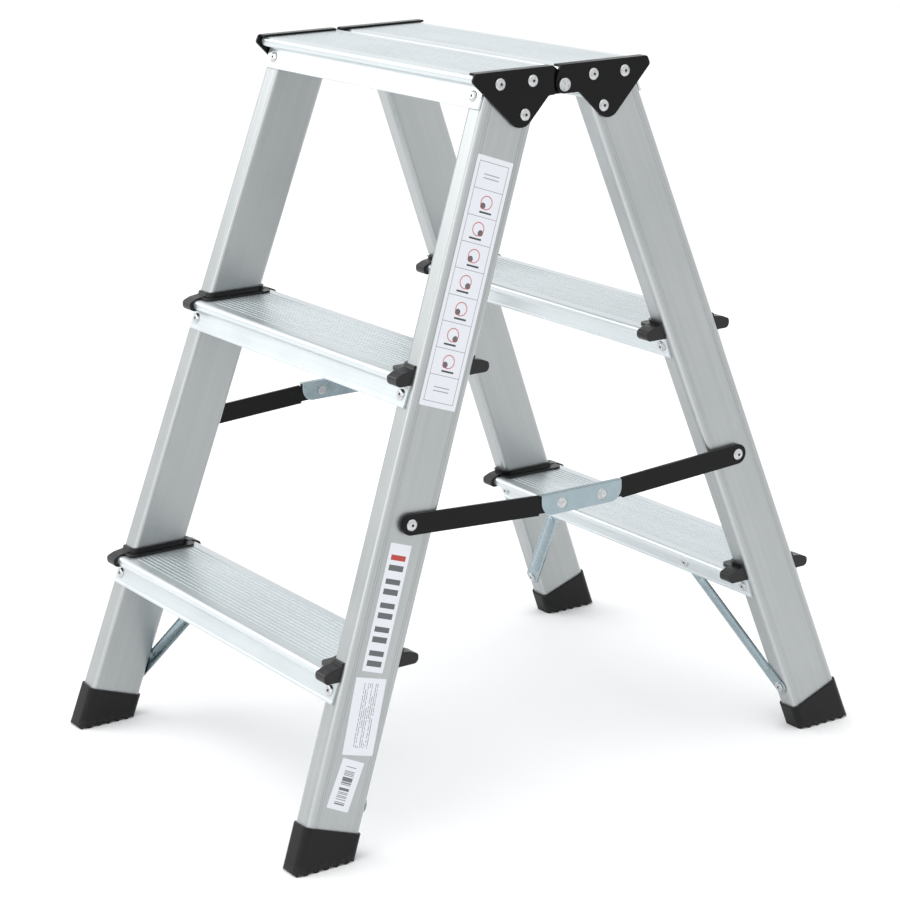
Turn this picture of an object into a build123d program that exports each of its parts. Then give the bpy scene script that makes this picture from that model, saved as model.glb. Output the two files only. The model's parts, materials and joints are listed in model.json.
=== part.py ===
from build123d import *
import os
from math import atan2, cos, degrees, hypot, radians, sin, tan

# Folding double-sided step ladder: two halves of three treads, hinged under the platform's middle.
# Millimetres, +Z up, X along the treads, the floor at Z = 0. Each piece is drawn for the +X, +Y
# corner and mirrored to the other corners, so the front half stands at -Y.

# Overall
platform_height = 646.0
platform_half_width = 177.5  # middle to a stile's outer face, at the platform
platform_gap = 3.2  # between the noses of the two top treads
lean = 19.88  # of a half from the vertical, in degrees
flare = 3.27  # of a stile's outer face from the vertical, in degrees
first_tread_height = 167.2
treads_per_half = 3
fit = 0.05  # running and assembly clearance

# Stile: a rectangular tube
stile_depth = 53.5
stile_thickness = 22.0
stile_wall = 1.5
stile_corner = 5.0
groove_insets = (7.0, 9.5)  # decorative grooves, from each edge of the outer face
groove_width = 0.7
groove_depth = 0.18

# Tread: an extrusion with a nose and an apron on both long sides
tread_height = 28.4
tread_plate = 2.2
nose_overhang = 14.6
nose_height = 8.6
nose_radius = 4.0
nose_under_radius = 3.8
nose_tuck = 0.8  # a nose's lower edge, behind its upper one
neck_radius = 1.2
hollow_tip_radius = 1.4
hollow_root_radius = 0.6
apron_reach = 2.0  # apron's face proud of the stile's narrow face
bead_height = 2.4
bead_proud = 0.5
bead_radius = 0.8
extrusion_radius = 0.3  # of small corners
neck_drop = 10.2  # where the apron meets the nose
apron_inset = 5.5  # apron's end short of the stile's outer face
platform_inset = 1.2  # top tread's end short of the stile's outer face
rib_pitch = 4.6
rib_grooves = 14
rib_groove_width = 1.3
rib_groove_depth = 0.4

# Plastic cap round each stile at the two lower treads
cap_strip = 10.0  # reach over the tread from the stile's inner face
cap_margin = 7.0  # and past its narrow faces
cap_corner = 6.5
cap_skin = 2.0
cap_shoulder = 3.0  # the noses run this far past the stile's inner face, up to the lugs
lug_reach = 3.8  # past the noses
lug_drop = 10.0
lug_rise = 3.4
lug_slope = 1.6
lug_radius = 4.6
lip_rise = 6.0
lip_wall = 2.5

# Foot
foot_wall = 2.1
foot_sole = 7.0
foot_rim_height = 31.0  # on the stile's centre line
toe_radius = 3.0
heel_radius = 1.0
tooth_pitch = 9.85
tooth_cuts = 6
tooth_radius = 4.0
tooth_centre_drop = 1.6
heel_to_cut = 5.5

# Brace from the stile above the foot to the bottom tread's inner apron
brace_width = 16.0
brace_sheet = 1.3
brace_foot_height = 43.5
brace_head_x = 106.4
brace_head_rise = 11.4  # above the apron's lower edge
brace_foot_gap = 0.3  # from the stile, so that the strip can slant in behind the apron
brace_head_gap = 0.3  # from the apron
bead_width = 11.0
bead_crown = 2.8
bead_foot_gap = 21.5
bead_head_gap = 27.0

# Hinge plates
plate_sheet = 2.2
plate_flange = 7.5  # lip over the tread
plate_flange_sheet = 2.0
flange_end_gap = 1.0  # lip short of the plate's far corner
plate_length = 89.6
plate_corner = 7.0
plate_top_radius = 3.0
plate_top_end_radius = 1.0
plate_apex_y = 45.5
plate_apex_drop = 52.0  # apex of the plate's point, below the platform
plate_tip_radius = 13.0
hinge_drop = 14.6
ear_radius = 7.7
ear_shoulder_radius = 3.0
ear_root_radius = 5.0
ear_gap = 0.5  # between the two ears, which tilt as they turn
front_top_end = 9.0  # end of the front plate's top edge, from the hinge
rear_top_end = -2.5
joggle_start = 8.0  # the front ear steps in behind the rear one
joggle_end = 10.0
joggle_bend = 1.0  # its inside is this much later than its outside
notch_gap = 0.5  # from the front ear to the top treads' notched noses
plate_rivets = ((64.8, 8.8), (31.6, 8.8), (41.0, 36.2))  # from the hinge, below the platform
pin_radius = 3.0
pin_head_radius = 5.75
pin_head_height = 2.0
pin_foot_radius = 4.4
pin_foot_height = 0.7

# Spreader
spreader_height = 281.6  # of its pivots on the stiles
spreader_drop = 9.0  # right link's pivots below those; the left link is past its middle, as far above
link_pivot_half = 21.75
link_half_length = 43.3
link_sheet = 1.2
link_below = 9.0
link_corner = 12.0
link_edge_radius = 0.4
link_bend_radius = 1.0
bar_width = 18.4
bar_sheet = 3.0
bar_head_half = 7.4
bar_head_length = 23.2
bar_stile_gap = 1.2
link_side_gap = 0.3
washer_radius = 6.5
stub_gap = 0.3  # the rear pivot's stub stops this far from the stile

# Blind rivets
rivet_head_radius = 5.1
rivet_head_height = 1.8
rivet_rim = 0.5
rivet_crown_swell = 0.9
rivet_crown_share = 0.8  # of the head's height, half-way out
rivet_radius = 2.4
rivet_tail_radius = 3.5
rivet_tail_length = 4.0
rivet_tail_taper = 1.0
mandrel_radius = 1.2
mandrel_depth = 1.3
tread_rivet_rise = 9.85
tread_rivet_inset = 14.0
dome_radius = 5.2
dome_height = 2.6
dome_foot_radius = 4.4
pivot_rivet_radius = 2.9

# The stile's faces. A horizontal section is the same all the way up, and moves by climb.
y_slope, x_slope = tan(radians(lean)), tan(radians(flare))
climb = Vector(-x_slope, -y_slope, 1)
section_x = stile_thickness / cos(radians(flare))
section_y = stile_depth / cos(radians(lean))
narrow_normal = (0, cos(radians(lean)), sin(radians(lean)))
outer_normal = (cos(radians(flare)), 0, sin(radians(flare)))
tread_pitch = (platform_height - first_tread_height) / (treads_per_half - 1)
hinge_height = platform_height - hinge_drop
levels = ("bottom", "middle", "top")
tread_tops = [first_tread_height + i * tread_pitch for i in range(treads_per_half)]


def outer_x(z):
    return platform_half_width + x_slope * (platform_height - z)


def inner_x(z):
    return outer_x(z) - section_x


def inner_y(z):
    return nose_overhang + platform_gap / 2 + y_slope * (platform_height - z)


def outer_y(z):
    return inner_y(z) + section_y


def outline(points):
    """A filled outline of (y, z, corner radius) points, in the YZ plane."""
    corners = [(y, z) for y, z, radius in points]
    edge = FilletPolyline(*corners, radius=[radius for y, z, radius in points], close=True)
    return make_face(edge)


def along_x(sketch, low, high):
    return extrude(Plane.YZ.offset(low) * sketch, amount=high - low)


def slanted(section, low, high):
    """A horizontal section about the stile's centre line, carried up the stile."""
    middle = Pos(outer_x(low) - section_x / 2, outer_y(low) - section_y / 2, low)
    return extrude(middle * section, amount=(high - low) * climb.length, dir=climb)


def stile_section(grow=0.0):
    return RectangleRounded(section_x + 2 * grow, section_y + 2 * grow, stile_corner + grow)


def stile_space(low, high, grow=fit):
    return slanted(stile_section(grow), low, high)


def rod(place, radius, low, high):
    """A round bar along a plane's normal, from low to high."""
    middle = Pos(0, 0, (low + high) / 2)
    return place * middle * Cylinder(radius, high - low)


def rivet_places(face):
    """Planes on the aprons' faces at one corner, one for each tread."""
    sign = 1 if face == "outer" else -1
    places = []
    for top in tread_tops:
        z = top - tread_height + tread_rivet_rise
        y = outer_y(z) + apron_reach if face == "outer" else inner_y(z) - apron_reach
        normal = [sign * part for part in narrow_normal]
        x = outer_x(z) - tread_rivet_inset
        places.append(Plane(origin=(x, y, z), x_dir=(1, 0, 0), z_dir=normal))
    return places


apron_grip = apron_reach * cos(radians(lean)) + stile_wall

# The brace runs along its plane's X axis, from the stile's inner face to the apron's back.
inward = -Vector(*narrow_normal)
brace_head_z = tread_tops[0] - tread_height + brace_head_rise
brace_foot_x = outer_x(brace_foot_height) - section_x / 2
brace_head_depth = brace_sheet + brace_head_gap
brace_start = Vector(brace_foot_x, inner_y(brace_foot_height), brace_foot_height)
brace_start += inward * brace_foot_gap
brace_finish = Vector(brace_head_x, inner_y(brace_head_z), brace_head_z) - inward * brace_head_depth
brace_way = (brace_finish - brace_start).normalized()
brace_run = (brace_finish - brace_start).length
brace_slant = (brace_foot_gap + brace_head_depth) / brace_run
brace_normal = inward - brace_way * inward.dot(brace_way)
brace_plane = Plane(origin=brace_start, x_dir=brace_way, z_dir=brace_normal)
apron_face = apron_reach * cos(radians(lean))
brace_head_origin = brace_finish + inward * (brace_head_depth + apron_face)
brace_slack = brace_slant * 2 * rivet_tail_radius  # lets the rivets' tails clear the slanting strip
brace_foot_grip = brace_sheet + brace_foot_gap + stile_wall + brace_slack
brace_head_grip = apron_face + brace_head_depth + brace_slack
brace_head_place = Plane(origin=brace_head_origin, x_dir=(1, 0, 0), z_dir=inward)

# The hinge plates and what passes through them
plate_places = [
    Plane(origin=(outer_x(platform_height - drop), y, platform_height - drop), z_dir=outer_normal)
    for y, drop in plate_rivets
]
hinge_x = outer_x(hinge_height)
hinge_place = Plane(origin=(hinge_x, 0, hinge_height), z_dir=(1, 0, 0))
tilt = sin(radians(flare))
ear_depth = ear_gap + plate_sheet  # of the front ear's inside, behind the plates

# The spreader, in planes across X
stile_pivot_y = outer_y(spreader_height) - section_y / 2
link_pivot_heights = {
    "right": spreader_height - spreader_drop,
    "left": spreader_height + spreader_drop,
}
bar_run = hypot(stile_pivot_y - link_pivot_half, spreader_drop)
bar_slope = atan2(spreader_drop, stile_pivot_y - link_pivot_half)
bar_x = outer_x(spreader_height - bar_width / 2) + bar_stile_gap
stile_pivot = Plane(origin=(bar_x, stile_pivot_y, spreader_height), z_dir=(1, 0, 0))


def make_stile(half):
    top = platform_height - tread_plate - fit
    bore = RectangleRounded(
        section_x - 2 * stile_wall, section_y - 2 * stile_wall, stile_corner - stile_wall
    )
    groove = Rectangle(2 * groove_depth, groove_width)
    inset_from_middle = [section_y / 2 - inset for inset in groove_insets]
    grooves = [
        Pos(section_x / 2, sign * inset) * groove for inset in inset_from_middle for sign in (-1, 1)
    ]
    stile = slanted(stile_section() - bore - grooves, foot_sole + fit, top)
    for place in rivet_places("outer") + rivet_places("inner"):
        stile -= rod(place, rivet_radius + fit, -apron_grip - stile_wall, 0)
    for place in plate_places:
        stile -= rod(place, rivet_radius + fit, -2 * stile_wall, stile_wall)
    if half == "front":
        stile -= rod(stile_pivot, pivot_rivet_radius + fit, -section_x / 2, section_x)
    return stile - rod(brace_plane, rivet_radius + fit, -2 * stile_wall, stile_wall)


def tread_outline(top):
    """The tread's outside, with the noses' lines square to the floor and the aprons leaning."""
    low = top - tread_height

    def outer(reach, z, radius):
        return (outer_y(z) + reach, z, radius)

    def inner(reach, z, radius):
        return (inner_y(z) - reach, z, radius)

    def side(at, nose):
        sign = 1 if at is outer else -1
        return [
            at(fit, low, extrusion_radius),
            at(apron_reach + bead_proud, low, bead_radius),
            at(apron_reach + bead_proud, low + bead_height, extrusion_radius),
            at(apron_reach, low + bead_height + bead_proud, extrusion_radius),
            at(apron_reach, top - neck_drop, neck_radius),
            (nose - sign * nose_tuck, top - nose_height, nose_under_radius),
            (nose, top, nose_radius),
        ]

    under = top - tread_plate
    outside = side(outer, outer_y(top) + nose_overhang)
    inside = side(inner, inner_y(top) - nose_overhang)
    return [inner(fit, under, 0)] + inside + outside[::-1] + [outer(fit, under, 0)]


def nose_hollows(top):
    """The empty inside of each nose, a sheet's thickness in from its outline."""
    high, low = top - tread_plate, top - nose_height + tread_plate
    hollows = [
        (outer_y(low) + tread_plate, outer_y(top) + nose_overhang - tread_plate),
        (inner_y(high) - tread_plate, inner_y(top) - nose_overhang + tread_plate),
    ]
    return [
        outline(
            [
                (root, low, hollow_root_radius),
                (tip, low, hollow_tip_radius),
                (tip, high, hollow_tip_radius),
                (root, high, hollow_root_radius),
            ]
        )
        for root, tip in hollows
    ]


def nose_end(top):
    return inner_x(top) + cap_shoulder


def tread_end(top):
    if top == tread_tops[-1]:
        return outer_x(top) - platform_inset
    return outer_x(top - tread_height / 2) - apron_inset


def make_tread(top):
    middle = (inner_y(top) + outer_y(top)) / 2
    grooves = [
        Pos(middle + (i - (rib_grooves - 1) / 2) * rib_pitch, top)
        * Rectangle(rib_groove_width, 2 * rib_groove_depth)
        for i in range(rib_grooves)
    ]
    face = outline(tread_outline(top)) - nose_hollows(top) - grooves
    tread = along_x(face, -tread_end(top), tread_end(top))
    cuts = []
    if top != tread_tops[-1]:
        depth = section_y + 4 * nose_overhang
        reach = 2 * (tread_end(top) - nose_end(top))
        notch = Pos(nose_end(top), middle, top - lug_drop - fit) * Box(
            reach, depth, 2 * lug_drop, align=(Align.MIN, Align.CENTER, Align.MIN)
        )
        cuts += [notch, stile_space(top - lug_drop - fit, top + lug_drop, 2 * fit)]
    else:
        notch_x = platform_half_width - ear_depth - notch_gap
        reach = 2 * (joggle_end + joggle_bend + notch_gap)
        cuts.append(
            Pos(notch_x, 0, top) * Box(
                reach, reach, 2 * tread_height, align=(Align.MIN, Align.CENTER, Align.CENTER)
            )
        )
    for face_name in ("outer", "inner"):
        place = rivet_places(face_name)[tread_tops.index(top)]
        cuts.append(rod(place, rivet_radius + fit, -2 * apron_reach, apron_reach))
    if top == tread_tops[0]:
        cuts.append(rod(brace_head_place, rivet_radius + fit, -2 * apron_reach, apron_reach))
    for cut in cuts:
        tread = tread - cut - mirror(cut, Plane.YZ)
    return tread


def lug_outline(top, face, tip, sign):
    """One lug seen along X, from the stile's narrow face to its rounded tip."""
    base, crest = top - lug_drop, top + lug_rise
    end = tip + sign * lug_reach
    return outline(
        [
            (face(base), base, 0),
            (face(crest), crest, 0),
            (tip - sign * lug_reach, top + lug_slope, lug_radius),
            (end, top - lug_slope, lug_radius * 0.7),
            (end, base, lug_radius),
        ]
    )


def make_cap(top):
    start, end = inner_x(top) - cap_strip, tread_end(top)
    middle = (inner_y(top) + outer_y(top)) / 2
    strip = RectangleRounded(end - start, section_y + 2 * cap_margin, cap_corner)
    cap = extrude(Pos((start + end) / 2, middle, top + fit) * strip, amount=cap_skin - fit)
    for face, tip, sign in (
        (outer_y, outer_y(top) + nose_overhang, 1),
        (inner_y, inner_y(top) - nose_overhang, -1),
    ):
        cap += along_x(lug_outline(top, face, tip, sign), nose_end(top) + fit, end)
    lip = stile_space(top + fit, top + lip_rise, lip_wall)
    cap += lip & Pos(end, middle, top) * Box(
        4 * section_x, 4 * section_y, 4 * lip_rise, align=(Align.MAX, Align.CENTER, Align.CENTER)
    )
    return cap - stile_space(top - 2 * lug_drop, top + 2 * lip_rise)


def make_foot():
    foot = stile_space(0, 2 * foot_rim_height, foot_wall)
    heel, toe = inner_y(0) - foot_wall, outer_y(0) + foot_wall
    rise = 3 * foot_rim_height
    side = outline(
        [
            (heel, 0, heel_radius),
            (toe, 0, toe_radius),
            (toe - y_slope * rise, rise, 0),
            (heel - y_slope * rise, rise, 0),
        ]
    )
    cuts = [
        Pos(heel + heel_to_cut + i * tooth_pitch, -tooth_centre_drop) * Circle(tooth_radius)
        for i in range(tooth_cuts)
    ]
    foot &= along_x(side - cuts, inner_x(0) - section_x, outer_x(0) + section_x)
    middle = (outer_x(foot_rim_height) - section_x / 2, outer_y(foot_rim_height) - section_y / 2)
    rim = Plane(origin=(*middle, foot_rim_height), z_dir=climb)
    foot = split(foot, bisect_by=rim, keep=Keep.BOTTOM)
    return foot - stile_space(foot_sole, 3 * foot_rim_height)


def bead(width, crown, low, high):
    """A raised bead along X with rounded ends."""
    radius = (width * width / 4 + crown * crown) / (2 * crown)
    disc = Pos(0, crown - radius) * Circle(radius) & Pos(0, crown / 2) * Rectangle(width, crown)
    body = Plane.YZ.offset(low) * disc
    ridge = extrude(body, amount=high - low)
    half = Plane.YZ * (disc & Pos(width / 4, crown / 2) * Rectangle(width / 2, crown))
    dome = revolve(half, Axis.Z, 360)
    return ridge + Pos(low, 0, 0) * dome + Pos(high, 0, 0) * dome


def make_brace():
    strip = SlotCenterToCenter(brace_run, brace_width)
    brace = extrude(Pos(brace_run / 2, 0) * strip, amount=brace_sheet)
    low, high = bead_foot_gap, brace_run - bead_head_gap
    brace += Pos(0, 0, brace_sheet) * bead(bead_width, bead_crown, low, high)
    brace -= bead(bead_width, bead_crown, low, high)
    brace = brace_plane * brace
    depth = apron_reach + 2 * brace_head_depth
    brace -= rod(brace_plane, rivet_radius + fit, -depth, depth)
    return brace - rod(brace_head_place, rivet_radius + fit, -2 * depth, 0)


def plate_outline(top_end, far_top):
    """A plate seen along X: a point below, an ear round the hinge, and a top edge."""
    apex = platform_height - plate_apex_drop
    ear_low = hinge_height - ear_radius
    rise = far_top - apex - plate_corner
    return outline(
        [
            (-ear_radius, ear_low, ear_radius - 2 * fit),
            (-ear_radius, hinge_height + ear_radius / 2, ear_shoulder_radius),
            (top_end, far_top, plate_top_end_radius),
            (plate_length, far_top, plate_top_radius),
            (plate_apex_y + rise, apex + rise, plate_corner / 2),
            (plate_apex_y, apex, plate_tip_radius),
            (plate_apex_y - (ear_low - apex), ear_low, ear_root_radius),
        ]
    )


def plate_slab(section):
    """A sheet bent as a (y, outward) section, standing on the stiles' outer faces."""
    up = (-outer_normal[2], 0, outer_normal[0])
    place = Plane(origin=(outer_x(0), 0, 0), x_dir=(0, 1, 0), z_dir=up)
    corners = [(y, -out) for y, out in section]
    reach = 2 * platform_height
    return extrude(place * make_face(Polyline(*corners, close=True)), amount=reach)


def make_hinge_plate(half):
    top = platform_height + plate_flange_sheet + fit
    far, near = 2 * plate_length, -2 * ear_radius
    if half == "rear":
        section = [(far, 0), (far, plate_sheet), (near, plate_sheet), (near, 0)]
        top_end = flange_start = rear_top_end
    else:
        section = [
            (far, 0),
            (far, plate_sheet),
            (joggle_end, plate_sheet),
            (joggle_start, -ear_gap),
            (near, -ear_gap),
            (near, -ear_depth),
            (joggle_start + joggle_bend, -ear_depth),
            (joggle_end + joggle_bend, 0),
        ]
        top_end, flange_start = front_top_end, joggle_end
    edge = outer_x(top)
    blank = along_x(plate_outline(top_end, top), 0, 2 * platform_half_width)
    plate = plate_slab(section) & blank
    flange = outline(
        [
            (flange_start, platform_height + fit, 0),
            (plate_length - flange_end_gap, platform_height + fit, 0),
            (plate_length - flange_end_gap, top, 0),
            (flange_start, top, 0),
        ]
    )
    plate += along_x(flange, edge - plate_flange, edge + plate_sheet / 2)
    for place in plate_places:
        plate -= rod(place, rivet_radius + fit, -plate_sheet, 2 * plate_sheet)
    return plate - rod(hinge_place, pin_radius + fit, -2 * ear_depth, 2 * plate_sheet)


def make_hinge_pin():
    under_head = plate_sheet + tilt * pin_head_radius + fit
    under_foot = -ear_depth - tilt * pin_foot_radius - fit
    head = Pos(0, 0, under_head) * Cylinder(
        pin_head_radius, pin_head_height, align=(Align.CENTER, Align.CENTER, Align.MIN)
    )
    head = fillet(head.edges().sort_by(Axis.Z)[-1], pin_head_height / 3)
    foot = Pos(0, 0, under_foot) * Cylinder(
        pin_foot_radius, pin_foot_height, align=(Align.CENTER, Align.CENTER, Align.MAX)
    )
    shank = rod(Plane.XY, pin_radius, under_foot, under_head)
    return hinge_place * (head + foot + shank)


def blind_rivet(grip, radius=rivet_radius, tail=True):
    """A rivet down from its head, which sits on Z = 0, to the far side of its grip."""
    rim = (rivet_head_radius, rivet_rim)
    crown = (mandrel_radius, rivet_head_height)
    swell = (rim[0] + crown[0]) / 2 + rivet_crown_swell
    shoulder = (swell, rivet_head_height * rivet_crown_share)
    end = [(rivet_tail_radius, -grip)]
    end += [(rivet_tail_radius - rivet_tail_taper, -grip - rivet_tail_length)]
    end = end + [(0, -grip - rivet_tail_length)] if tail else [(0, -grip)]
    side = Polyline(
        rim,
        (rivet_head_radius, 0),
        (radius, 0),
        (radius, -grip),
        *end,
        (0, rivet_head_height - mandrel_depth),
        (mandrel_radius, rivet_head_height - mandrel_depth),
        crown,
    )
    return revolve(make_face(Plane.XZ * (side + ThreePointArc(crown, shoulder, rim))), Axis.Z, 360)


def dome_rivet(grip):
    """A solid rivet with a domed head at each end of its grip."""
    sphere = (dome_radius**2 + dome_height**2) / (2 * dome_height)
    head = Pos(0, 0, dome_height - sphere) * Sphere(sphere)
    head &= Pos(0, 0, dome_height / 2) * Box(4 * dome_radius, 4 * dome_radius, dome_height)
    foot = Pos(0, 0, -grip) * Cylinder(
        dome_foot_radius, dome_height / 2, align=(Align.CENTER, Align.CENTER, Align.MAX)
    )
    foot = fillet(foot.edges().sort_by(Axis.Z)[0], dome_height / 4)
    return head + foot + rod(Plane.XY, pivot_rivet_radius, -grip, 0)


def make_bar(side):
    """A spreader's bar, from its pivot on the stile to its narrower head inside the link."""
    waist = bar_run - bar_head_length
    shape = Circle(bar_width / 2) + Pos(waist / 2, 0) * Rectangle(waist, bar_width)
    shape += Pos((waist + bar_run) / 2, 0) * Rectangle(bar_head_length, 2 * bar_head_half)
    shape += Pos(bar_run, 0) * Circle(bar_head_half)
    shape -= Circle(pivot_rivet_radius + fit)
    shape -= Pos(bar_run, 0) * Circle(pivot_rivet_radius + fit)
    climb_sign = 1 if link_pivot_heights[side] > spreader_height else -1
    along = (0, -cos(bar_slope), climb_sign * sin(bar_slope))
    place = Plane(origin=stile_pivot.origin, x_dir=along, z_dir=(1, 0, 0))
    return extrude(place * shape, amount=bar_sheet)


def make_link(side):
    link_pivot_z = link_pivot_heights[side]
    above = bar_head_half + (link_half_length - link_pivot_half) * tan(bar_slope) + 4 * fit
    high = link_pivot_z + above + link_sheet
    low = link_pivot_z - link_below
    side = outline(
        [
            (-link_half_length, high, link_edge_radius),
            (link_half_length, high, link_edge_radius),
            (link_half_length, low, link_corner),
            (-link_half_length, low, link_corner),
        ]
    )
    inside = bar_x - link_side_gap
    outside = bar_x + bar_sheet + link_side_gap
    link = along_x(side, inside - link_sheet, outside + link_sheet)
    top_edges = link.edges().filter_by(Axis.Y).group_by(Axis.Z)[-1]
    link = fillet(top_edges, link_bend_radius)
    slot_height = high - low
    slot = Pos((inside + outside) / 2, 0, high - link_sheet - slot_height / 2) * Box(
        outside - inside, 3 * link_half_length, slot_height
    )
    link -= slot
    for sign in (-1, 1):
        pivot = Plane(origin=(bar_x, sign * link_pivot_half, link_pivot_z), z_dir=(1, 0, 0))
        link -= rod(pivot, pivot_rivet_radius + fit, -3 * link_sheet, bar_sheet + 3 * link_sheet)
    return link


def make_link_rivets(side):
    face = bar_sheet + link_side_gap + link_sheet
    grip = bar_sheet + 2 * (link_side_gap + link_sheet)
    places = [
        Plane(origin=(bar_x + face, sign * link_pivot_half, link_pivot_heights[side]), z_dir=(1, 0, 0))
        for sign in (-1, 1)
    ]
    return [place * dome_rivet(grip) for place in places]


def make_stile_pivot(half):
    """The rivet and washer of a bar's pivot on its stile; the rear one stops short of the stile."""
    head = Plane(origin=stile_pivot.origin + Vector(bar_sheet + 2 * fit, 0, 0), z_dir=(1, 0, 0))
    face = outer_x(spreader_height)
    if half == "front":
        grip = head.origin.X - face + stile_wall / cos(radians(flare))
        grip += tilt * rivet_tail_radius + fit
        rivet = head * blind_rivet(grip, pivot_rivet_radius)
        washer_low = face - bar_x - stile_wall
    else:
        washer_low = face + tilt * washer_radius + stub_gap - bar_x
        rivet = head * blind_rivet(head.origin.X - bar_x - washer_low, pivot_rivet_radius, False)
    washer = rod(stile_pivot, washer_radius, washer_low, -fit)
    washer -= rod(stile_pivot, pivot_rivet_radius + fit, washer_low - 1, 1)
    if half == "front":
        reach = 4 * washer_radius
        washer -= stile_space(spreader_height - reach, spreader_height + reach, 0)
    return rivet, washer


def placed(piece, half, side):
    """The +X, +Y piece moved to one corner."""
    if side == "left":
        piece = mirror(piece, Plane.YZ)
    return mirror(piece, Plane.XZ) if half == "front" else piece


def group(pieces):
    return Compound(children=[solid for piece in pieces for solid in piece.solids()])


os.makedirs("parts", exist_ok=True)
nodes = {}
halves, sides = ("front", "rear"), ("left", "right")

corner_pieces = {
    "foot": make_foot(),
    "brace": make_brace(),
    "bottom_cap": make_cap(tread_tops[0]),
    "middle_cap": make_cap(tread_tops[1]),
}
apron_rivets = [
    place * blind_rivet(apron_grip)
    for place in rivet_places("outer") + rivet_places("inner")
]
brace_rivets = [
    brace_plane * Pos(0, 0, brace_sheet) * blind_rivet(brace_foot_grip),
    brace_head_place * blind_rivet(brace_head_grip),
]
plate_rivet_group = [
    place * Pos(0, 0, plate_sheet) * blind_rivet(plate_sheet + stile_wall) for place in plate_places
]
corner_rivets = {
    "tread_rivets": apron_rivets,
    "brace_rivets": brace_rivets,
    "hinge_rivets": plate_rivet_group,
}

for half in halves:
    for level, top in zip(levels, tread_tops):
        nodes[f"{half}_{level}_tread"] = placed(make_tread(top), half, "right")
    stile, plate = make_stile(half), make_hinge_plate(half)
    for side in sides:
        nodes[f"{half}_{side}_stile"] = placed(stile, half, side)
        for name, piece in corner_pieces.items():
            nodes[f"{half}_{side}_{name}"] = placed(piece, half, side)
        nodes[f"{half}_{side}_hinge_plate"] = placed(plate, half, side)
    for name, rivets in corner_rivets.items():
        copies = [placed(rivet, half, side) for rivet in rivets for side in sides]
        nodes[f"{half}_{name}"] = group(copies)

for side in sides:
    nodes[f"{side}_hinge_pin"] = placed(make_hinge_pin(), "rear", side)
    nodes[f"{side}_spreader_link"] = placed(make_link(side), "rear", side)
    nodes[f"{side}_link_rivets"] = group([placed(r, "rear", side) for r in make_link_rivets(side)])
    for half in halves:
        rivet, washer = make_stile_pivot(half)
        nodes[f"{side}_{half}_bar"] = placed(make_bar(side), half, side)
        nodes[f"{side}_{half}_bar_rivet"] = placed(rivet, half, side)
        nodes[f"{side}_{half}_bar_washer"] = placed(washer, half, side)

for name, piece in nodes.items():
    export_step(piece, f"parts/{name}.step")
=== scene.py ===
import json
from math import cos, radians, sin, tan

import bmesh
import bpy
from mathutils import Matrix, Vector


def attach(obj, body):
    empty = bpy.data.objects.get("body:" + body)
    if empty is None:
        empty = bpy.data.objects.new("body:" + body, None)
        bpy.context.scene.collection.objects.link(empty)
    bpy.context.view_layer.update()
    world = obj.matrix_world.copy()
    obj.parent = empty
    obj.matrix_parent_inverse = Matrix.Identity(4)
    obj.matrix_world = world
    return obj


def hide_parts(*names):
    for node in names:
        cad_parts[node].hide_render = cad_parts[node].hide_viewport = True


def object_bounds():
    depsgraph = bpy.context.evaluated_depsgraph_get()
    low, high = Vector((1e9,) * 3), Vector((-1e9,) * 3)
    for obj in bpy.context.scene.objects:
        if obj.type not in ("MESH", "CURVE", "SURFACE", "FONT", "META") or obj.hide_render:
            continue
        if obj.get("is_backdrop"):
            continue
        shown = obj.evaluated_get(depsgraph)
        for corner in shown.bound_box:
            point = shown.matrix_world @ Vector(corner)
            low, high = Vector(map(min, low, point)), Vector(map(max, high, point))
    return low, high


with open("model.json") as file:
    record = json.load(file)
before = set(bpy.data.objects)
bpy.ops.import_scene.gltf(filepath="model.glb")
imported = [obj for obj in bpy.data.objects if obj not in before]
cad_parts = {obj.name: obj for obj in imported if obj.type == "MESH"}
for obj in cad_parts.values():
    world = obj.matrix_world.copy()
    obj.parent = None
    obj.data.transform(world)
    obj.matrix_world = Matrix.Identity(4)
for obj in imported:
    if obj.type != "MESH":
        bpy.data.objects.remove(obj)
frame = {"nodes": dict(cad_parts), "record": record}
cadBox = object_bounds()
nodes = frame["nodes"]

# How the ladder stands: metres, the front half at -Y, the floor at Z = 0
ladder = {
    "height": 0.646,
    "halfWidth": 0.1775,  # middle to a stile's outer face, at the platform
    "innerY": 0.0162,  # middle to a stile's inner face, at the platform
    "lean": radians(19.88),
    "flare": radians(3.27),
    "stileDepth": 0.0535,
    "stileThickness": 0.022,
}
leanSlope, flareSlope = tan(ladder["lean"]), tan(ladder["flare"])
sectionY = ladder["stileDepth"] / cos(ladder["lean"])
sectionX = ladder["stileThickness"] / cos(ladder["flare"])


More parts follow.
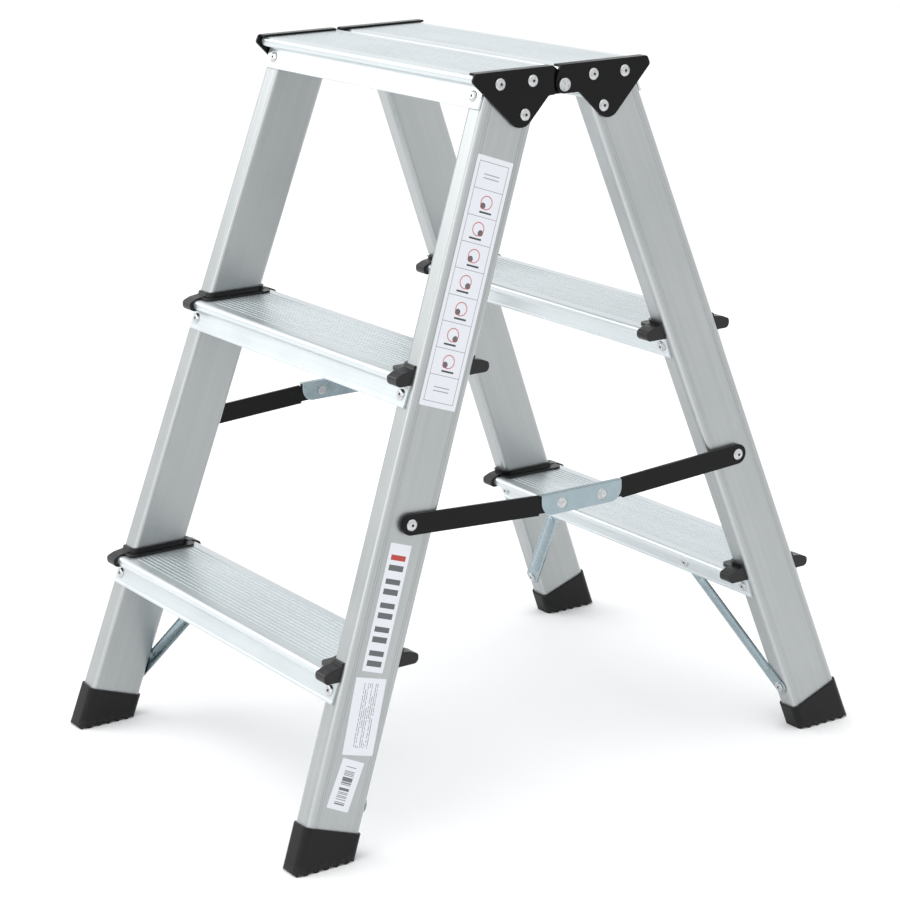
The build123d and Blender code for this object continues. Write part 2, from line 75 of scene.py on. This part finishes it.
class Field:  # one socket that takes part in sums
    def __init__(self, finish, socket):
        self.finish, self.socket = finish, socket

    def sum(self, operation, first, second=0.0):
        return self.finish.add("Math", {"operation": operation}, {0: first, 1: second})

    def __add__(self, other):
        return self.sum("ADD", self, other)

    def __radd__(self, other):
        return self.sum("ADD", other, self)

    def __sub__(self, other):
        return self.sum("SUBTRACT", self, other)

    def __rsub__(self, other):
        return self.sum("SUBTRACT", other, self)

    def __mul__(self, other):
        return self.sum("MULTIPLY", self, other)

    def __rmul__(self, other):
        return self.sum("MULTIPLY", other, self)

    def __truediv__(self, other):
        return self.sum("DIVIDE", self, other)

    def __pow__(self, other):
        return self.sum("POWER", self, other)

    def __abs__(self):
        return self.sum("ABSOLUTE", self)

    def __lt__(self, other):
        return self.sum("LESS_THAN", self, other)

    def __gt__(self, other):
        return self.sum("GREATER_THAN", self, other)

    def __mod__(self, other):
        return self.sum("FLOORED_MODULO", self, other)

    def floor(self):
        return self.sum("FLOOR", self)

    def higher(self, other):
        return self.sum("MAXIMUM", self, other)

    def ease(self, start, end):  # 0 before start, 1 after end
        ramp = {"interpolation_type": "SMOOTHSTEP", "clamp": True}
        return self.finish.add("MapRange", ramp, {0: self, 1: start, 2: end, 3: 0.0, 4: 1.0})

    def sway(self, amount):  # a noise's swing about its middle
        return (self - 0.5) * amount


class Finish:  # one material and its nodes
    def __init__(self, name):
        self.material = bpy.data.materials.new(name)
        self.material.use_nodes = True
        self.tree = self.material.node_tree
        self.tree.nodes.clear()

    def add(self, kind, settings=None, sockets=None, result=0):
        node = self.tree.nodes.new("ShaderNode" + kind)
        for name, value in (settings or {}).items():
            setattr(node, name, value)
        for name, value in (sockets or {}).items():
            if isinstance(value, Field):
                self.tree.links.new(value.socket, node.inputs[name])
            else:
                node.inputs[name].default_value = value
        return Field(self, node.outputs[result]) if node.outputs else None

    def place(self):
        return self.add("TexCoord", result=3)

    def parts(self, vector):
        split = self.add("SeparateXYZ", sockets={0: vector}).socket.node
        return [Field(self, output) for output in split.outputs]

    def vector(self, x, y, z):
        return self.add("CombineXYZ", sockets={0: x, 1: y, 2: z})

    def noise(self, vector, scale=1.0, detail=3.0, roughness=0.5):
        grain = {"Vector": vector, "Scale": scale, "Detail": detail, "Roughness": roughness}
        return self.add("TexNoise", sockets=grain)

    def blend(self, amount, first, second):
        colours = {0: amount, 6: self.opaque(first), 7: self.opaque(second)}
        return self.add("Mix", {"data_type": "RGBA"}, colours, result=2)

    def opaque(self, colour):
        return colour if isinstance(colour, Field) else (*colour, 1)

    def bump(self, height, depth, strength, under=None):
        sockets = {"Height": height, "Distance": depth, "Strength": strength}
        if under:
            sockets["Normal"] = under
        return self.add("Bump", sockets=sockets)

    def close(self, colour, roughness, metallic, normal, **fixed):
        sockets = {"Base Color": self.opaque(colour), "Roughness": roughness, "Metallic": metallic}
        sockets["Normal"] = normal
        for name, value in fixed.items():
            sockets[name.replace("_", " ")] = value
        shader = self.add("BsdfPrincipled", sockets=sockets)
        self.add("OutputMaterial", sockets={0: shader})
        return self.material


stileLook = {
    "colour": (0.385, 0.405, 0.408),
    "pale": (0.43, 0.448, 0.452),
    "metallic": 0.86,
    "roughness": 0.36,
    "streaks": 1500.0,  # per metre across the tube
    "streakLength": 9.0,  # per metre along it
    "streakDepth": 0.000012,
    "bands": 160.0,
    "bandLength": 3.0,
    "handling": 14.0,
    "cornerReach": 0.004,
    "cornerHighlight": (0.62, 0.635, 0.64),  # painted highlight along the rounded corners
    "cornerHighlightShare": 0.5,
    "cornerGloss": 0.08,  # how much smoother the painted-highlight corner band is
}

treadLook = {
    "colour": (0.60, 0.645, 0.66),
    "pale": (0.66, 0.70, 0.715),
    "metallic": 0.82,
    "roughness": 0.34,
    "streaks": 1300.0,
    "streakLength": 8.0,
    "streakDepth": 0.000010,
    "bands": 160.0,
    "bandLength": 3.0,
    "handling": 18.0,
}

drawing = {  # what both drawn sections share
    "streakShare": 0.35,
    "bandShare": 0.35,
    "handlingShare": 0.3,
    "paleRange": (0.36, 0.64),
    "streakSway": 0.10,  # of the roughness
    "handlingSway": 0.14,
    "streakStrength": 0.55,
    "waveDepth": 0.0004,
    "waveStrength": 0.12,
}


def drawnMetal(finish, look, across, along, out, edges=None):
    fine, length = look["streaks"], look["streakLength"]
    lines = finish.vector(across * fine, out * fine, along * length)
    streaks = finish.noise(lines, detail=4.0, roughness=0.6)
    wide, length = look["bands"], look["bandLength"]
    broad = finish.noise(finish.vector(across * wide, out * wide, along * length), detail=2.0)
    cloud = finish.noise(finish.place(), look["handling"], roughness=0.55)
    tint = streaks * drawing["streakShare"] + broad * drawing["bandShare"]
    tint = tint + cloud * drawing["handlingShare"]
    colour = finish.blend(tint.ease(*drawing["paleRange"]), look["colour"], look["pale"])
    rough = look["roughness"] + streaks.sway(drawing["streakSway"])
    rough = rough + cloud.sway(drawing["handlingSway"])
    # painted highlight: a paler, smoother band along the stile's rounded corners
    if edges:
        colour = finish.blend(edges * look["cornerHighlightShare"], colour, look["cornerHighlight"])
        rough = rough - edges * look["cornerGloss"]
    normal = finish.bump(streaks, look["streakDepth"], drawing["streakStrength"])
    normal = finish.bump(cloud, drawing["waveDepth"], drawing["waveStrength"], normal)
    return finish.close(colour, rough, look["metallic"], normal)


def stileFinish():
    finish = Finish("stileAluminium")
    x, y, z = finish.parts(finish.place())
    outward = abs(x) + z * flareSlope - (ladder["halfWidth"] + flareSlope * ladder["height"])
    depth = abs(y) + z * leanSlope - (ladder["innerY"] + leanSlope * ladder["height"])
    # masks for the painted highlight along the stile's rounded corners
    reach = stileLook["cornerReach"]
    sideEdge, faceEdge = sectionX / 2 - reach, sectionY / 2 - reach
    sideCorner = abs(outward + sectionX / 2).ease(sideEdge, sideEdge + reach * 2 / 3)
    faceCorner = abs(depth - sectionY / 2).ease(faceEdge, faceEdge + reach * 2 / 3)
    return drawnMetal(finish, stileLook, depth, z, outward, sideCorner * faceCorner)


def treadFinish():
    finish = Finish("treadAluminium")
    x, y, z = finish.parts(finish.place())
    return drawnMetal(finish, treadLook, y, x, z)


blackSteelLook = {
    "colour": (0.004, 0.004, 0.0045),
    "dust": (0.014, 0.014, 0.015),
    "dustShare": 0.6,
    "dustScale": 320.0,
    "dustRange": (0.58, 0.75),
    "dustRoughness": 0.12,
    "cloudScale": 45.0,
    "cloudRange": (0.4, 0.7),
    "cloudSway": 0.16,
    "roughness": 0.30,
    "specular": 0.16,
    "peelScale": 900.0,
    "peelDepth": 0.00006,
    "peelStrength": 0.5,
}


def blackSteelFinish():
    look = blackSteelLook
    finish = Finish("blackSteel")
    place = finish.place()
    peel = finish.noise(place, look["peelScale"], detail=2.0)
    cloud = finish.noise(place, look["cloudScale"], detail=4.0, roughness=0.6)
    specks = finish.noise(place, look["dustScale"], detail=5.0, roughness=0.7)
    dust = specks.ease(*look["dustRange"]) * cloud.ease(*look["cloudRange"])
    colour = finish.blend(dust * look["dustShare"], look["colour"], look["dust"])
    rough = look["roughness"] + cloud.sway(look["cloudSway"]) + dust * look["dustRoughness"]
    normal = finish.bump(peel, look["peelDepth"], look["peelStrength"])
    return finish.close(colour, rough, 0.0, normal, Specular_IOR_Level=look["specular"])


capLook = {
    "colour": (0.005, 0.005, 0.0055),
    "dust": (0.016, 0.016, 0.017),
    "dustShare": 0.7,
    "dustScale": 500.0,
    "dustRange": (0.56, 0.74),
    "dustRoughness": 0.08,
    "cloudScale": 60.0,
    "cloudSway": 0.18,
    "roughness": 0.34,
    "specular": 0.36,
    "grainScale": 2600.0,
    "grainDepth": 0.00004,
    "grainStrength": 0.6,
}


def capFinish():
    look = capLook
    finish = Finish("capPlastic")
    place = finish.place()
    grain = finish.noise(place, look["grainScale"], detail=2.0)
    cloud = finish.noise(place, look["cloudScale"], detail=4.0, roughness=0.6)
    specks = finish.noise(place, look["dustScale"], detail=5.0, roughness=0.7)
    dust = specks.ease(*look["dustRange"])
    colour = finish.blend(dust * cloud * look["dustShare"], look["colour"], look["dust"])
    rough = look["roughness"] + cloud.sway(look["cloudSway"]) + dust * look["dustRoughness"]
    normal = finish.bump(grain, look["grainDepth"], look["grainStrength"])
    return finish.close(colour, rough, 0.0, normal, Specular_IOR_Level=look["specular"])


footLook = {
    "colour": (0.007, 0.007, 0.0075),
    "dust": (0.05, 0.049, 0.047),
    "dustHeight": 0.012,
    "dustShare": 0.55,
    "dustScale": 380.0,
    "dustRange": (0.42, 0.68),
    "dustRoughness": 0.25,
    "cloudScale": 80.0,
    "cloudShare": 0.12,
    "cloudRange": (0.55, 0.8),
    "cloudSway": 0.16,
    "roughness": 0.46,
    "specular": 0.22,
    "grainScale": 1800.0,
    "grainDepth": 0.00006,
    "grainStrength": 0.6,
}


def footFinish():
    look = footLook
    finish = Finish("footRubber")
    place = finish.place()
    height = finish.parts(place)[2]
    grain = finish.noise(place, look["grainScale"], roughness=0.6)
    cloud = finish.noise(place, look["cloudScale"], detail=4.0, roughness=0.6)
    specks = finish.noise(place, look["dustScale"], detail=5.0, roughness=0.7)
    dust = (1 - height.ease(0.0, look["dustHeight"])) * specks.ease(*look["dustRange"])
    bloom = cloud.ease(*look["cloudRange"]) * look["cloudShare"]
    colour = finish.blend(dust * look["dustShare"] + bloom, look["colour"], look["dust"])
    rough = look["roughness"] + cloud.sway(look["cloudSway"]) + dust * look["dustRoughness"]
    normal = finish.bump(grain, look["grainDepth"], look["grainStrength"])
    return finish.close(colour, rough, 0.0, normal, Specular_IOR_Level=look["specular"])


zincLook = {
    "colour": (0.30, 0.375, 0.405),
    "pale": (0.40, 0.475, 0.505),
    "metallic": 0.95,
    "roughness": 0.27,
    "spangleScale": 260.0,
    "spangleShare": 0.1,
    "spangleSway": 0.03,
    "cloudScale": 70.0,
    "cloudShare": 0.3,
    "cloudRange": (0.3, 0.7),
    "cloudSway": 0.2,
    "grainScale": 1500.0,
    "grainDepth": 0.000008,
    "grainStrength": 0.5,
}


def zincFinish():
    look = zincLook
    finish = Finish("zincSteel")
    place = finish.place()
    cells = {"Vector": place, "Scale": look["spangleScale"]}
    spangle = finish.add("TexVoronoi", {"feature": "F1"}, cells, result=1)
    flake = finish.parts(spangle)[0]
    cloud = finish.noise(place, look["cloudScale"], detail=4.0, roughness=0.6)
    bloom = cloud.ease(*look["cloudRange"]) * look["cloudShare"]
    colour = finish.blend(flake * look["spangleShare"] + bloom, look["colour"], look["pale"])
    rough = look["roughness"] + cloud.sway(look["cloudSway"]) + flake.sway(look["spangleSway"])
    grain = finish.noise(place, look["grainScale"], roughness=0.6)
    normal = finish.bump(grain, look["grainDepth"], look["grainStrength"])
    return finish.close(colour, rough, look["metallic"], normal)


rivetLook = {
    "colour": (0.56, 0.57, 0.575),
    "dull": (0.38, 0.385, 0.39),
    "metallic": 0.95,
    "roughness": 0.22,
    "cloudScale": 420.0,
    "cloudRange": (0.45, 0.7),
    "cloudSway": 0.2,
    "grainScale": 900.0,
    "grainDepth": 0.00001,
    "grainStrength": 0.5,
}


def rivetFinish():
    look = rivetLook
    finish = Finish("rivetSteel")
    place = finish.place()
    cloud = finish.noise(place, look["cloudScale"], detail=4.0, roughness=0.6)
    grain = finish.noise(place, look["grainScale"], roughness=0.6)
    colour = finish.blend(cloud.ease(*look["cloudRange"]), look["colour"], look["dull"])
    rough = look["roughness"] + cloud.sway(look["cloudSway"])
    normal = finish.bump(grain, look["grainDepth"], look["grainStrength"])
    return finish.close(colour, rough, look["metallic"], normal)


merged = 1e-6  # metres: corners that are nearer than this are one
sharp = radians(32)  # edges that meet at more are shaded sharp

finishes = {
    "stile_aluminium": stileFinish(),
    "tread_aluminium": treadFinish(),
    "black_steel": blackSteelFinish(),
    "cap_plastic": capFinish(),
    "foot_rubber": footFinish(),
    "zinc_steel": zincFinish(),
    "rivet_steel": rivetFinish(),
}
print("finishes ready:", len(finishes))

slotOf = {part["node"]: part["material_slot"] for part in frame["record"]["subparts"]}
bodyOf = {
    name: body for body, names in frame["record"]["behaviour"]["bodies"].items() for name in names
}
for name, piece in nodes.items():
    finish = finishes[slotOf[name]]
    if piece.material_slots:
        for slot in piece.material_slots:
            slot.material = finish
    else:
        piece.data.materials.append(finish)
print("frame pieces painted:", len(nodes))


def finishedPiece(name, bm, paint, body):
    mesh = bpy.data.meshes.new(name)
    bm.to_mesh(mesh)
    bm.free()
    mesh.materials.append(paint)
    mesh.shade_smooth()
    mesh.set_sharp_from_angle(angle=sharp)
    piece = bpy.data.objects.new(name, mesh)
    bpy.context.scene.collection.objects.link(piece)
    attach(piece, body)
    return piece


def outerY(z):  # of a stile's outer narrow face
    return ladder["innerY"] + leanSlope * (ladder["height"] - z) + sectionY


labelLook = {
    "paper": (0.70, 0.715, 0.76),
    "soiled": (0.62, 0.63, 0.65),
    "soiling": 0.25,
    "ink": (0.045, 0.05, 0.055),
    "red": (0.42, 0.05, 0.04),
    "cloudScale": 90.0,
    "cloudSway": 0.12,
    "roughness": 0.36,
    "specular": 0.4,
    "grainScale": 2500.0,
    "grainDepth": 0.00001,
    "grainStrength": 0.4,
    "thickness": 0.00012,
    "lift": 0.00002,  # clear of the stile's face
    "corner": 0.0009,
}


def within(value, low, high):
    return (value > low) * (value < high)


def distance(across, along):
    return (across ** 2.0 + along ** 2.0) ** 0.5


# Each label: its place and size in metres, then its print in millimetres from its middle
cellLabel = {
    "name": "cellLabel",
    "across": 0.0261,
    "height": 0.4847,
    "width": 0.0372,
    "length": 0.2137,
    "turn": 0.3,
    "pitch": 22.7,
    "halfWidth": 15.0,
    "halfLength": 102.2,
    "line": 0.24,
    "marked": (0.5, 7.5),  # the cells with a ring, counted from the foot
    "stagger": 2.0,
    "ringRise": 1.0,
    "ringRadius": 5.6,
    "ringLine": 0.5,
    "dotDrop": 2.0,
    "dotRadius": 2.7,
    "baseDrop": 7.4,
    "baseHalf": (6.2, 0.8),
    "dashHalf": (8.0, 4.0),
    "dashPitch": 3.2,
    "dashLine": 0.9,
    "dashStart": 12.0,
    "lineInk": 0.75,
    "dotInk": 0.9,
    "dashInk": 0.6,
}


def cellInk(finish, across, along):
    look = cellLabel
    line = look["line"]
    place = (along + look["halfLength"]) / look["pitch"]
    cell = place.floor()
    rise = (place - cell - 0.5) * look["pitch"]
    inside = (abs(across) < look["halfWidth"] + line) * (abs(along) < look["halfLength"] + line)
    border = abs(abs(across) - look["halfWidth"]) < line
    rung = abs(rise) > look["pitch"] / 2 - line
    shift = (cell % 2.0) * (look["stagger"] * 2) - look["stagger"]
    marked = within(cell, *look["marked"])
    reach = distance(across - shift * 0.5, rise - look["ringRise"])
    ring = (abs(reach - look["ringRadius"]) < look["ringLine"]) * marked
    dot = (distance(across + shift, rise + look["dotDrop"]) < look["dotRadius"]) * marked
    baseWide, baseHigh = look["baseHalf"]
    base = (abs(rise + look["baseDrop"]) < baseHigh) * (abs(across - shift) < baseWide) * marked
    dashWide, dashHigh = look["dashHalf"]
    dashes = (abs(rise) < dashHigh) * (abs(across) < dashWide) * (1.0 - marked)
    dashes = dashes * ((rise + look["dashStart"]) % look["dashPitch"] < look["dashLine"])
    ink = (border.higher(rung) * look["lineInk"]).higher(dot * look["dotInk"])
    ink = ink.higher(base).higher(dashes * look["dashInk"])
    return inside * ink, inside * ring * look["lineInk"]


barLabel = {
    "name": "barLabel",
    "across": 0.0252,
    "height": 0.222,
    "width": 0.0212,
    "length": 0.1105,
    "turn": 0.8,
    "pitch": 20.6,
    "start": 50.5,
    "lowBar": (0.0, 5.0),
    "highBar": (9.0, 13.6),
    "halfWidth": 7.4,
    "halfLength": 51.0,
    "redFrom": 33.0,
    "ink": 0.9,
}


def barInk(finish, across, along):
    look = barLabel
    place = (along + look["start"]) / look["pitch"]
    rise = (place - place.floor()) * look["pitch"]
    stripes = within(rise, *look["lowBar"]).higher(within(rise, *look["highBar"]))
    block = stripes * (abs(across) < look["halfWidth"]) * (abs(along) < look["halfLength"])
    topBar = (along > look["redFrom"]) * (rise > look["highBar"][0])
    return block * (1.0 - topBar) * look["ink"], block * topBar


lineLabel = {
    "name": "lineLabel",
    "across": 0.029,
    "height": 0.1341,
    "width": 0.0306,
    "length": 0.0667,
    "turn": 3.8,
    "pitch": 1.9,
    "line": 0.36,  # share of the pitch
    "wordStep": (7.3, 0.5),  # through the noise, for each row and each millimetre
    "wordsOver": 0.40,
    "fillStep": (3.1, 0.03),
    "fillOver": 0.36,
    "columns": (-6.0, 9.4),
    "rows": (-27.0, 29.0),
    "ink": 0.7,
}


def lineInk(finish, across, along):
    look = lineLabel
    row = (across / look["pitch"]).floor()
    line = ((across / look["pitch"]) - row) < look["line"]
    wordRow, wordAlong = look["wordStep"]
    fillRow, fillAlong = look["fillStep"]
    wordPlace = finish.vector(row * wordRow, along * wordAlong, 0.0)
    fillPlace = finish.vector(row * fillRow, along * fillAlong, 5.0)
    words = finish.noise(wordPlace, detail=1.0) > look["wordsOver"]
    fill = finish.noise(fillPlace, detail=0.0) > look["fillOver"]
    block = within(across, *look["columns"]) * within(along, *look["rows"])
    return line * words * fill * block * look["ink"], None


stripeLabel = {
    "name": "stripeLabel",
    "across": 0.0266,
    "height": 0.078,
    "width": 0.0225,
    "length": 0.0439,
    "turn": -6.4,
    "stripe": 0.62,
    "halfWidth": 5.2,
    "halfLength": 17.5,
    "ink": 0.85,
}


def stripeInk(finish, across, along):
    look = stripeLabel
    column = (along / look["stripe"]).floor()
    bars = finish.add("TexWhiteNoise", {"noise_dimensions": "1D"}, {"W": column}) > 0.5
    block = (abs(across) < look["halfWidth"]) * (abs(along) < look["halfLength"])
    return bars * block * look["ink"], None


def labelFinish(name, label, pattern):
    look = labelLook
    finish = Finish(name)
    u, v = finish.parts(finish.add("TexCoord", result=2))[:2]
    across = (u - 0.5) * (label["width"] * 1000)
    along = (v - 0.5) * (label["length"] * 1000)
    ink, red = pattern(finish, across, along)
    cloud = finish.noise(finish.place(), look["cloudScale"], detail=4.0, roughness=0.6)
    paper = finish.blend(cloud * look["soiling"], look["paper"], look["soiled"])
    colour = finish.blend(ink, paper, look["ink"])
    if red:
        colour = finish.blend(red, colour, look["red"])
    rough = look["roughness"] + cloud.sway(look["cloudSway"])
    grain = finish.noise(finish.place(), look["grainScale"], detail=2.0)
    normal = finish.bump(grain, look["grainDepth"], look["grainStrength"])
    return finish.close(colour, rough, 0.0, normal, Specular_IOR_Level=look["specular"])


def makeLabel(label, pattern):
    width, length, height = label["width"], label["length"], label["height"]
    bm = bmesh.new()
    bmesh.ops.create_grid(bm, x_segments=1, y_segments=1, size=0.5)
    bmesh.ops.scale(bm, vec=(width, length, 1), verts=bm.verts)
    block = bmesh.ops.extrude_face_region(bm, geom=bm.faces[:])
    raised = [item for item in block["geom"] if isinstance(item, bmesh.types.BMVert)]
    bmesh.ops.translate(bm, vec=(0, 0, labelLook["thickness"]), verts=raised)
    corners = [edge for edge in bm.edges if abs(edge.verts[0].co.z - edge.verts[1].co.z) > merged]
    rounding = {"offset": labelLook["corner"], "segments": 3, "profile": 0.5, "material": -1}
    bmesh.ops.bevel(bm, geom=corners, affect="EDGES", **rounding)
    bmesh.ops.recalc_face_normals(bm, faces=bm.faces)
    sheet = bm.loops.layers.uv.new("label")
    for face in bm.faces:
        for loop in face.loops:
            across, along = loop.vert.co.xy
            loop[sheet].uv = (across / width + 0.5, along / length + 0.5)
    up = Vector((-flareSlope, leanSlope, 1)).normalized()
    out = Vector((cos(ladder["flare"]), 0, sin(ladder["flare"])))
    side = up.cross(out).normalized()
    turn = Matrix((side, up, out)).transposed().to_4x4()
    turn = turn @ Matrix.Rotation(radians(label["turn"]), 4, "Z")
    edgeX = ladder["halfWidth"] + flareSlope * (ladder["height"] - height)
    edge = Vector((edgeX, -outerY(height), height))
    place = edge + side * label["across"] + out * labelLook["lift"]
    bm.transform(Matrix.Translation(place) @ turn)
    paint = labelFinish(label["name"], label, pattern)
    finishedPiece(label["name"], bm, paint, "front_frame")


# On the right front stile's outer face, from the top down
labels = ((cellLabel, cellInk), (barLabel, barInk), (lineLabel, lineInk), (stripeLabel, stripeInk))
for label, pattern in labels:
    makeLabel(label, pattern)
print("labels made:", len(labels))


softened = {  # edges that the press or the mould rounds: the node name's ending, the bevel's width
    "hinge_plate": 0.0006,
    "_cap": 0.0007,
    "foot": 0.0008,
    "_bar": 0.0004,
}
flat = radians(0.5)  # faces that meet at less are one face
cornerFrom = radians(40)  # edges that meet at more are rounded


def softenedCopy(name, width):
    node = nodes[name]
    bm = bmesh.new()
    bm.from_mesh(node.data)
    bm.transform(node.matrix_world)
    bmesh.ops.remove_doubles(bm, verts=bm.verts, dist=merged)
    bmesh.ops.dissolve_limit(bm, angle_limit=flat, verts=bm.verts, edges=bm.edges)
    piece = finishedPiece(name + "_soft", bm, finishes[slotOf[name]], bodyOf[name])
    bevel = piece.modifiers.new("roundedEdges", "BEVEL")
    bevel.width, bevel.segments = width, 2
    bevel.limit_method, bevel.angle_limit = "ANGLE", cornerFrom
    bevel.harden_normals = True
    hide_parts(name)


for name in sorted(nodes):
    for ending, width in softened.items():
        if name.endswith(ending):
            softenedCopy(name, width)
print("edges softened")


# blind-rivet mandrel stubs, drawn near black as painted shade in the rivets' holes
mandrel = {
    "radius": 0.00155,
    "tip": 0.00125,
    "length": 0.0014,
    "seat": 0.0005,  # of the hole's floor above the underside of the rivet's head
    # painted shade: the stub's near-black colour stands for the dark inside the rivet's hole
    "colour": (0.03, 0.03, 0.032),
    "rust": (0.07, 0.05, 0.04),
    "cloudScale": 1600.0,
    "cloudRange": (0.45, 0.7),
    "cloudSway": 0.3,
    "metallic": 0.6,
    "roughness": 0.5,
    "grainScale": 3000.0,
    "grainDepth": 0.00004,
    "grainStrength": 0.5,
}
rimShare = 0.98  # of a rivet head's radius, past which a corner is on its rim


def mandrelAndHoleShadeFinish():
    look = mandrel
    finish = Finish("mandrelSteelAndHoleShade")
    place = finish.place()
    cloud = finish.noise(place, look["cloudScale"], detail=4.0, roughness=0.6)
    colour = finish.blend(cloud.ease(*look["cloudRange"]), look["colour"], look["rust"])
    rough = look["roughness"] + cloud.sway(look["cloudSway"])
    grain = finish.noise(place, look["grainScale"])
    normal = finish.bump(grain, look["grainDepth"], look["grainStrength"])
    return finish.close(colour, rough, look["metallic"], normal)


def islands(bm):  # the corners of each loose part
    left = set(bm.verts)
    for start in bm.verts:
        if start not in left:
            continue
        left.remove(start)
        queue, found = [start], []
        while queue:
            vert = queue.pop()
            found.append(vert.co.copy())
            for edge in vert.link_edges:
                other = edge.other_vert(vert)
                if other in left:
                    left.remove(other)
                    queue.append(other)
        yield found


def rivetAxis(name, middle):
    lean, flare = ladder["lean"], ladder["flare"]
    if "hinge" in name:
        return Vector((cos(flare) * (1 if middle.x > 0 else -1), 0, sin(flare)))
    if "bar" in name:
        return Vector((1, 0, 0))
    return Vector((0, cos(lean) * (1 if middle.y > 0 else -1), sin(lean)))


def makeMandrelsAndHoleShade(name, paint):
    source = bmesh.new()
    source.from_mesh(nodes[name].data)
    source.transform(nodes[name].matrix_world)
    bmesh.ops.remove_doubles(source, verts=source.verts, dist=merged)
    bm = bmesh.new()
    for points in islands(source):
        middle = sum(points, Vector()) / len(points)
        axis = rivetAxis(name, middle)
        across = axis.orthogonal().normalized()
        other = axis.cross(across)
        centre = Vector()
        for way in (across, other):
            spread = [point.dot(way) for point in points]
            centre += way * (min(spread) + max(spread)) / 2
        every = [point.dot(axis) for point in points]
        reaches = [(point - centre - axis * rise).length for point, rise in zip(points, every)]
        widest = max(reaches)
        rim = [rise for rise, reach in zip(every, reaches) if reach > widest * rimShare]
        headUp = max(every) - max(rim) < min(rim) - min(every)
        sign = 1 if headUp else -1
        seat = min(rim) if headUp else max(rim)
        size = {"radius1": mandrel["radius"], "radius2": mandrel["tip"], "depth": mandrel["length"]}
        stub = bmesh.ops.create_cone(bm, cap_ends=True, segments=16, **size)
        place = centre + axis * (seat + sign * (mandrel["seat"] + mandrel["length"] / 2))
        turn = (axis * sign).to_track_quat("Z", "Y").to_matrix().to_4x4()
        bmesh.ops.transform(bm, matrix=Matrix.Translation(place) @ turn, verts=stub["verts"])
    source.free()
    finishedPiece(name + "_mandrelsAndHoleShade", bm, paint, bodyOf[name])


# mandrel stubs in the rivet holes, near black as painted shade
mandrelAndHoleShadePaint = mandrelAndHoleShadeFinish()
for name in sorted(nodes):
    if "rivet" in name and "link" not in name:
        makeMandrelsAndHoleShade(name, mandrelAndHoleShadePaint)
print("mandrels made")


view = {
    "place": (1.95715, -1.29779, 0.94204),
    "yaw": 0.9861,
    "pitch": -0.2787,
    "roll": -0.0187,
    "lens": 104.452,
    "sensor": 36,
    "reach": 100,
}


def makeCamera():
    yaw, pitch, roll = view["yaw"], view["pitch"], view["roll"]
    ahead = Vector((-sin(yaw) * cos(pitch), cos(yaw) * cos(pitch), sin(pitch)))
    right = Vector((cos(yaw), sin(yaw), 0))
    up = right.cross(ahead)
    across = cos(roll) * right + sin(roll) * up
    above = -sin(roll) * right + cos(roll) * up
    camera = bpy.data.objects.new("viewCamera", bpy.data.cameras.new("viewCamera"))
    camera.data.lens = view["lens"]
    camera.data.sensor_width = view["sensor"]
    camera.data.clip_end = view["reach"]
    turn = Matrix((across, above, -ahead)).transposed().to_4x4()
    camera.matrix_world = Matrix.Translation(view["place"]) @ turn
    bpy.context.scene.collection.objects.link(camera)
    bpy.context.scene.camera = camera


floorLook = {
    "size": 30,
    "colour": (0.94, 0.94, 0.94),
    "roughness": 0.85,
    "specular": 0.1,
    "grainScale": 900.0,
    "grainDepth": 0.0001,
    "grainStrength": 0.2,
}


def makeFloor():
    look = floorLook
    bm = bmesh.new()
    bmesh.ops.create_grid(bm, x_segments=2, y_segments=2, size=look["size"])
    mesh = bpy.data.meshes.new("floor")
    bm.to_mesh(mesh)
    bm.free()
    floor = bpy.data.objects.new("floor", mesh)
    bpy.context.scene.collection.objects.link(floor)
    finish = Finish("paleFloor")
    grain = finish.noise(finish.place(), look["grainScale"], detail=2.0)
    normal = finish.bump(grain, look["grainDepth"], look["grainStrength"])
    fixed = {"Specular_IOR_Level": look["specular"]}
    mesh.materials.append(finish.close(look["colour"], look["roughness"], 0.0, normal, **fixed))
    floor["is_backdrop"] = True


studio = {
    "sky": (0.985, 0.993, 1.0),
    "skyStrength": 1.08,
    "boxes": (  # name, place, target, size, power
        ("leftBox", (-2.5, -2.3, 2.3), (0, 0, 0.4), (2.5, 2.1), 43),
        ("topBox", (0.2, -0.6, 3.2), (0, 0, 0.4), (2.4, 2.4), 22),
        ("frontBox", (0.6, -3.4, 1.8), (0, 0, 0.3), (2.0, 2.0), 12),
    ),
}


def softBox(name, place, target, size, power):
    lamp = bpy.data.lights.new(name, "AREA")
    lamp.shape, lamp.size, lamp.size_y = "RECTANGLE", *size
    lamp.energy = power
    piece = bpy.data.objects.new(name, lamp)
    direction = Vector(target) - Vector(place)
    turn = direction.to_track_quat("-Z", "Y").to_matrix().to_4x4()
    piece.matrix_world = Matrix.Translation(place) @ turn
    bpy.context.scene.collection.objects.link(piece)


def makeStudio():
    world = bpy.data.worlds.new("studio")
    world.use_nodes = True
    back = world.node_tree.nodes["Background"]
    back.inputs["Color"].default_value = (*studio["sky"], 1)
    back.inputs["Strength"].default_value = studio["skyStrength"]
    bpy.context.scene.world = world
    for box in studio["boxes"]:
        softBox(*box)
    bpy.context.scene.view_settings.view_transform = "Standard"


makeCamera()
makeFloor()
makeStudio()
print("picture ready")

boxes = {"cad": cadBox, "visual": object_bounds()}
plain = {name: [list(map(float, corner)) for corner in box] for name, box in boxes.items()}
